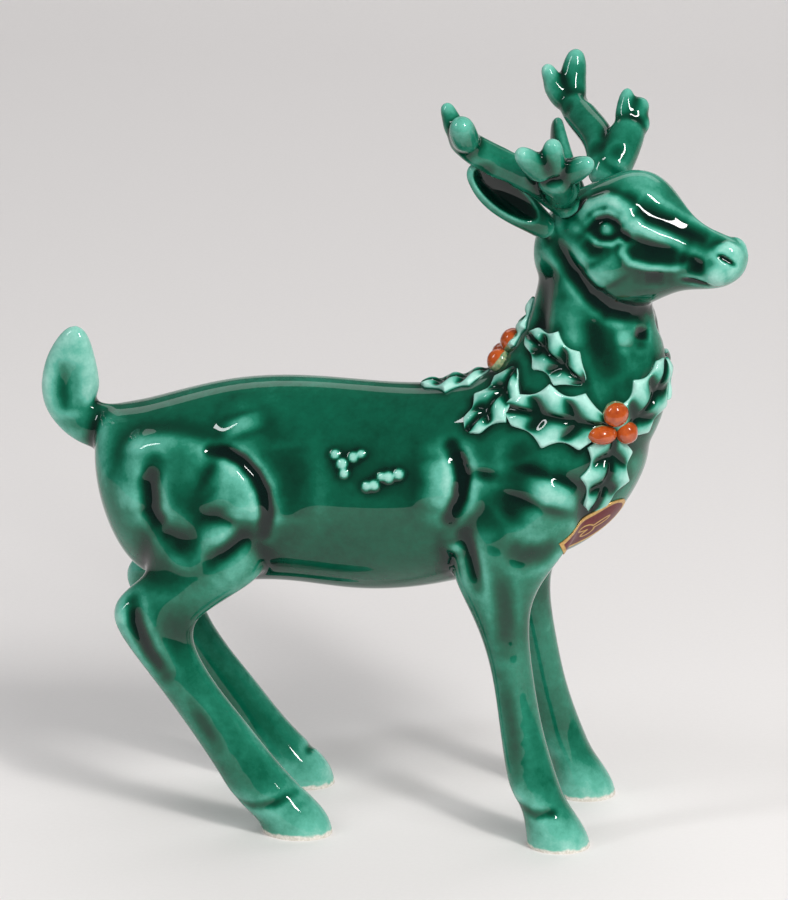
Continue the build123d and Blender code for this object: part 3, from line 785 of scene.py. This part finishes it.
gilt_layer = label.verts.layers.float.new("gilt")
bmesh.ops.create_grid(label, x_segments=150, y_segments=90, size=1)
raised = bmesh.ops.extrude_face_region(label, geom=label.faces[:])["geom"]
top = {item for item in raised if isinstance(item, bmesh.types.BMVert)}
shoulder, head_reach = 0.20 * label_length, 0.30 * label_length
for vert in label.verts:
    along = vert.co.x * label_length / 2
    past = max(0.0, along - shoulder) / head_reach
    reach = max(0.12, label_width / 2 * math.sqrt(max(0.0, 1 - past * past)))
    across = vert.co.y * reach
    to_edge = min(along + label_length / 2, reach - abs(across))
    if past > 0:
        to_edge = min(to_edge, (1 - math.hypot(past, across / (label_width / 2))) * head_reach)
    to_ornament = np.hypot(*(ornament - (along + 0.6, across)).T).min()
    gilt = max(border + 0.12 - to_edge, 0.34 - to_ornament) / 0.24
    gilt = min(1.0, max(0.0, gilt))
    flat = breast + (label_way * along + label_side * across) * MM
    ground = clay.solid.ray_cast(flat + out_of_breast * 0.014, -out_of_breast)[0]
    over = sprig_solid.ray_cast(flat + out_of_breast * 0.014, -out_of_breast)[0]
    if over and (ground is None or (over - ground).dot(out_of_breast) > 0):
        ground = over
    if ground is None:
        ground = clay.solid.find_nearest(flat)[0]
    height = foil_height + embossing * gilt if vert in top else gummed_side
    vert.co = ground + out_of_breast * height * MM
    vert[gilt_layer] = gilt
soften(label, top, 3, 0.4)
label = as_object(label, "gilt_foil_label")
shade_smooth(label)
set_on(label, "foil_label")

# ---------------------------------------------------------------------------------------------
# The glaze: a clear green lead glaze over white clay, fired to a hard gloss.
# It is thin and pale on edges, deep green on broad forms and nearly black where it pools.
# ---------------------------------------------------------------------------------------------


class Socket:
    """A value in a finish's node tree, so that sums on it read as plain sums."""

    def __init__(self, finish, out):
        self.finish = finish
        self.out = out

    def maths(self, operation, first, second):
        return self.finish.node("Math", {"operation": operation}, {0: first, 1: second})

    def __add__(self, other):
        return self.maths("ADD", self, other)

    def __sub__(self, other):
        return self.maths("SUBTRACT", self, other)

    def __mul__(self, other):
        return self.maths("MULTIPLY", self, other)

    def __rsub__(self, other):
        return self.maths("SUBTRACT", other, self)

    __radd__ = __add__
    __rmul__ = __mul__

    def between(self, low, high):
        """0 below low, 1 above high, smooth between."""
        settings = {"interpolation_type": "SMOOTHSTEP"}
        return self.finish.node("MapRange", settings, {0: self, 1: low, 2: high})

    def tones(self, *stops):
        """A colour from a ramp of (place, colour) stops."""
        return self.finish.node("ValToRGB", {"stops": stops}, {0: self})


class Finish:
    """A material under construction."""

    def __init__(self, name):
        self.material = bpy.data.materials.new(name)
        self.material.use_nodes = True
        self.tree = self.material.node_tree
        self.surface = self.tree.nodes["Principled BSDF"]
        self.place = self.node("TexCoord", out=3)

    def node(self, kind, settings=None, inputs=None, out=0):
        """Adds a node, sets it up, then gives its sockets their values or links."""
        made = self.tree.nodes.new("ShaderNode" + kind)
        for key, value in (settings or {}).items():
            if key != "stops":
                setattr(made, key, value)
                continue
            while len(made.color_ramp.elements) < len(value):
                made.color_ramp.elements.new(0.5)
            for element, (place, colour) in zip(made.color_ramp.elements, value):
                element.position = place
                element.color = (*colour, 1)
        for key, value in (inputs or {}).items():
            if isinstance(value, Socket):
                self.tree.links.new(value.out, made.inputs[key])
            else:
                made.inputs[key].default_value = value
        return Socket(self, made.outputs[out])

    def noise(self, scale, detail=3.0, roughness=0.6):
        inputs = {"Vector": self.place, "Scale": scale, "Detail": detail, "Roughness": roughness}
        return self.node("TexNoise", {}, inputs)

    def attribute(self, name):
        return self.node("Attribute", {"attribute_name": name}, out=2)

    def mix(self, share, first, second):
        return self.node("Mix", {"data_type": "RGBA"}, {0: share, 6: first, 7: second}, out=2)

    def bump(self, height, strength, distance):
        return self.node("Bump", {}, {"Strength": strength, "Distance": distance, "Height": height})

    def set(self, **sockets):
        """Links or sets the surface's own sockets, such as base_color or roughness."""
        for key, value in sockets.items():
            socket = self.surface.inputs[key.replace("_", " ").title().replace("Ior", "IOR")]
            if isinstance(value, Socket):
                self.tree.links.new(value.out, socket)
            else:
                socket.default_value = value
        return self.material


def green_glaze(name, lift):
    """The green glaze; lift makes it thinner, so paler, where it was put on over sharp relief."""
    finish = Finish(name)
    depth = finish.attribute("glaze")
    clouds = finish.noise(70.0, 5.0, 0.6)
    flecks = finish.noise(420.0, 3.0, 0.7)
    shade = depth * 0.50 + lift + (clouds - 0.5) * 0.22 + (flecks - 0.5) * 0.16
    green = shade.tones(
        (0.00, (0.0004, 0.0080, 0.0060)), (0.18, (0.0005, 0.0190, 0.0105)),
        (0.36, (0.0008, 0.0500, 0.0260)), (0.50, (0.0025, 0.1000, 0.0540)),
        (0.62, (0.0160, 0.1900, 0.1180)), (0.77, (0.1150, 0.4300, 0.3300)),
        (0.93, (0.4200, 0.7400, 0.6500)),
    )
    height = finish.node("SeparateXYZ", {}, {0: finish.place}, out=2)
    wiped = finish.noise(210.0, 2.0)
    bare = 1 - (height - (wiped - 0.5) * 0.0026).between(0.0007, 0.0014)
    biscuit = finish.noise(1500.0).tones((0.3, (0.56, 0.52, 0.45)), (0.7, (0.80, 0.77, 0.71)))
    ripple = finish.bump(finish.noise(160.0, 2.0), 0.10, 0.0004)
    return finish.set(base_color=finish.mix(bare, green, biscuit),
                      roughness=0.07 + bare * 0.6 + flecks * 0.05, coat_weight=1 - bare,
                      coat_roughness=0.02, coat_ior=1.5, specular_ior_level=0.0, normal=ripple)


def berry_enamel():
    finish = Finish("berry_enamel")
    wobble = finish.noise(900.0, 2.0)
    painted = (finish.attribute("crown") + (wobble - 0.5) * 0.22).between(0.10, 0.17)
    brushed = finish.noise(500.0, 4.0)
    orange = brushed.tones((0.25, (0.30, 0.036, 0.004)), (0.75, (0.56, 0.105, 0.012)))
    beneath = wobble.tones((0.3, (0.05, 0.20, 0.10)), (0.7, (0.42, 0.42, 0.22)))
    return finish.set(base_color=finish.mix(painted, beneath, orange), roughness=0.16 + brushed * 0.12,
                      coat_weight=0.8 + wobble * 0.1, coat_roughness=0.05, ior=1.5)


def label_foil():
    finish = Finish("label_foil")
    gilt = finish.attribute("gilt")
    worn = finish.noise(1400.0, 4.0)
    maroon = worn.tones((0.3, (0.105, 0.010, 0.014)), (0.75, (0.190, 0.026, 0.030)))
    gold = worn.tones((0.3, (0.52, 0.30, 0.09)), (0.75, (0.80, 0.54, 0.22)))
    crinkle = finish.bump(finish.noise(700.0, 3.0), 0.25, 0.0002)
    return finish.set(base_color=finish.mix(gilt, maroon, gold), metallic=0.35 + gilt * 0.5,
                      roughness=0.34 - gilt * 0.06 + worn * 0.1, normal=crinkle)


finishes = [
    (figure_pieces, green_glaze("green_glaze", 0.36)), (leaves, green_glaze("leaf_glaze", 0.56)),
    (berries, berry_enamel()), ([label], label_foil()),
]
for pieces, finished in finishes:
    for piece in pieces:
        piece.data.materials.append(finished)

# ---------------------------------------------------------------------------------------------
# The stage: a pale paper table that ends a little in front of the figure, soft window lights and
# the camera. None of it belongs to the object.
# ---------------------------------------------------------------------------------------------
paper = bmesh.new()
table_front, table_back = -0.30, 0.75
bmesh.ops.create_grid(paper, x_segments=1, y_segments=1, size=0.5)
bmesh.ops.scale(paper, vec=(4.4, table_back - table_front, 1), verts=paper.verts)
bmesh.ops.translate(paper, vec=(0, (table_back + table_front) / 2, 0), verts=paper.verts)
far_edge = [edge for edge in paper.edges if all(vert.co.y > table_back - 0.001 for vert in edge.verts)]
bmesh.ops.spin(paper, geom=far_edge, cent=(0, table_back, 0.45), axis=(1, 0, 0),
               angle=math.radians(80), steps=24)
floor = as_object(paper, "floor")
shade_smooth(floor)
paper = Finish("pale_paper")
fibres = paper.noise(900.0).tones((0.0, (0.76, 0.733, 0.726)), (1.0, (0.80, 0.773, 0.766)))
floor.data.materials.append(paper.set(base_color=fibres, roughness=0.75))

middle = spot(0, 0, 91.5)


def window(name, towards, distance, width, height, power, tint):
    """A soft rectangular light that faces the figure."""
    lamp = bpy.data.lights.new(name, "AREA")
    lamp.shape = "RECTANGLE"
    lamp.size, lamp.size_y = width, height
    lamp.energy = power
    lamp.color = tint
    holder = bpy.data.objects.new(name, lamp)
    towards = Vector(towards).normalized()
    holder.location = middle + towards * distance
    holder.rotation_euler = towards.to_track_quat("Z", "Y").to_euler()
    bpy.context.scene.collection.objects.link(holder)
    return holder


key = window("key_window", (0.66, -0.62, 0.74), 1.1, 0.70, 0.70, 5.0, (1.0, 0.99, 0.97))
key.visible_glossy = False
window("key_pane", (0.62, -0.60, 0.80), 1.1, 0.12, 0.40, 5.8, (1.0, 0.99, 0.97))
ceiling = window("ceiling", (0.10, 0.75, 1.0), 1.6, 2.2, 2.4, 13.0, (1.0, 1.0, 1.0))
ceiling.visible_glossy = False
window("back_window", (-0.10, 1.0, 0.90), 1.4, 1.6, 0.45, 2.2, (1.0, 1.0, 1.0))
window("left_window", (-0.64, -0.42, 0.66), 1.2, 0.12, 0.50, 2.6, (0.96, 0.98, 1.0))
fill = window("room_fill", (0.10, -1.0, 0.35), 1.4, 1.6, 1.2, 7.0, (1.0, 1.0, 1.0))
fill.visible_glossy = False
world = bpy.data.worlds.new("room")
world.use_nodes = True
world.node_tree.nodes["Background"].inputs[0].default_value = (0.50, 0.51, 0.52, 1)
world.node_tree.nodes["Background"].inputs[1].default_value = 0.22
bpy.context.scene.world = world
bpy.context.scene.view_settings.view_transform = "Standard"

azimuth, elevation, distance = math.radians(11), math.radians(17), 1.6
level = math.cos(elevation)
back = Vector((math.sin(azimuth) * level, -math.cos(azimuth) * level, math.sin(elevation)))
camera = bpy.data.objects.new("camera", bpy.data.cameras.new("camera"))
camera.data.sensor_width = 36
camera.data.lens = 266.7
camera.location = middle + back * distance
camera.rotation_euler = (-back).to_track_quat("-Z", "Y").to_euler()
bpy.context.scene.collection.objects.link(camera)
bpy.context.scene.camera = camera
